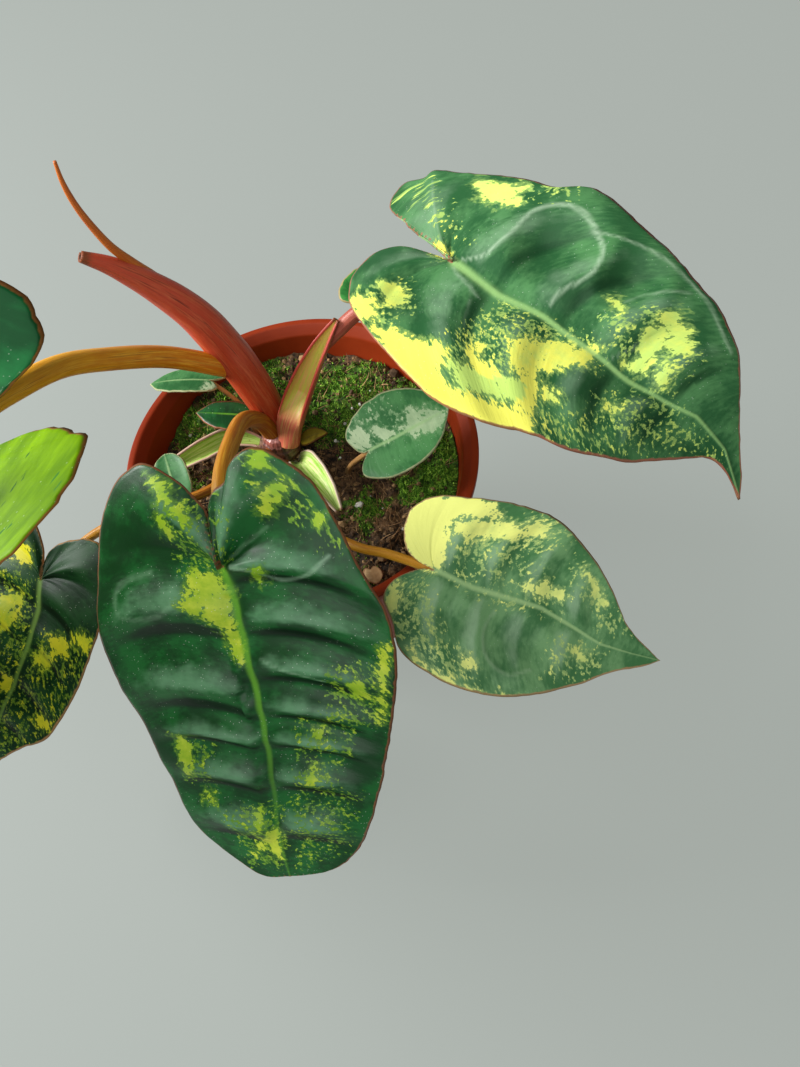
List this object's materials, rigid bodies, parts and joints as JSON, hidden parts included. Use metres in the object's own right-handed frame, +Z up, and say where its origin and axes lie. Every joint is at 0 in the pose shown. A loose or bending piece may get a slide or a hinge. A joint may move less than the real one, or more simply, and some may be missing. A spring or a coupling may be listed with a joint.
{
  "type": "potted variegated philodendron",
  "caption": "House plant in a round nursery pot: long heart-shaped variegated leaves on arching stalks, a red sheath with a rolled new leaf, and soil.",
  "frame": {"origin": "centre of the pot's flat underside, on the surface that it stands on", "axes": "+Z up through the pot, -Y towards the front, where the large quilted leaf hangs over the rim, +X to the right seen from the front"},
  "size_m": [0.2812, 0.1844, 0.2089],
  "materials": {
    "pot_terracotta": "satin moulded plastic",
    "potting_soil": "rough, damp",
    "stem_bark": "rough",
    "leaf_dark_green": "satin, waxy",
    "leaf_mid_green": "satin, waxy",
    "leaf_lime": "satin, waxy",
    "leaf_grey_green": "satin",
    "petiole_ochre": "satin",
    "petiole_red": "satin",
    "sheath_red": "satin",
    "rolled_leaf_orange": "satin",
    "scale_pale_green": "satin",
    "leaf_olive": "dry, matte",
    "stalk_tan": "dry, matte"
  },
  "bodies": {
    "root": {"leaf_1_blade": "leaf_dark_green", "leaf_2_blade": "leaf_dark_green", "leaf_3_blade": "leaf_mid_green", "leaf_4_blade": "leaf_grey_green", "leaf_5_blade": "leaf_lime", "leaf_6_blade": "leaf_dark_green", "small_leaf_a": "leaf_grey_green", "small_leaf_b": "leaf_dark_green", "small_leaf_c": "leaf_grey_green", "small_leaf_d": "leaf_mid_green", "petiole_1": "petiole_ochre", "petiole_2": "petiole_red", "petiole_3": "petiole_ochre", "petiole_4": "stalk_tan", "petiole_5": "petiole_ochre", "petiole_6": "petiole_ochre", "small_petiole_a": "stalk_tan", "small_petiole_b": "stalk_tan", "small_petiole_c": "stalk_tan", "small_petiole_d": "leaf_mid_green", "red_sheath": "sheath_red", "petiole_2_sheath": "petiole_red", "left_bud_scale": "scale_pale_green", "right_bud_scale": "scale_pale_green", "rolled_leaf": "rolled_leaf_orange", "dead_leaf": "leaf_olive", "dry_scrap": "stalk_tan", "stem": "stem_bark", "soil": "potting_soil", "pot": "pot_terracotta"}
  },
  "joints": []
}
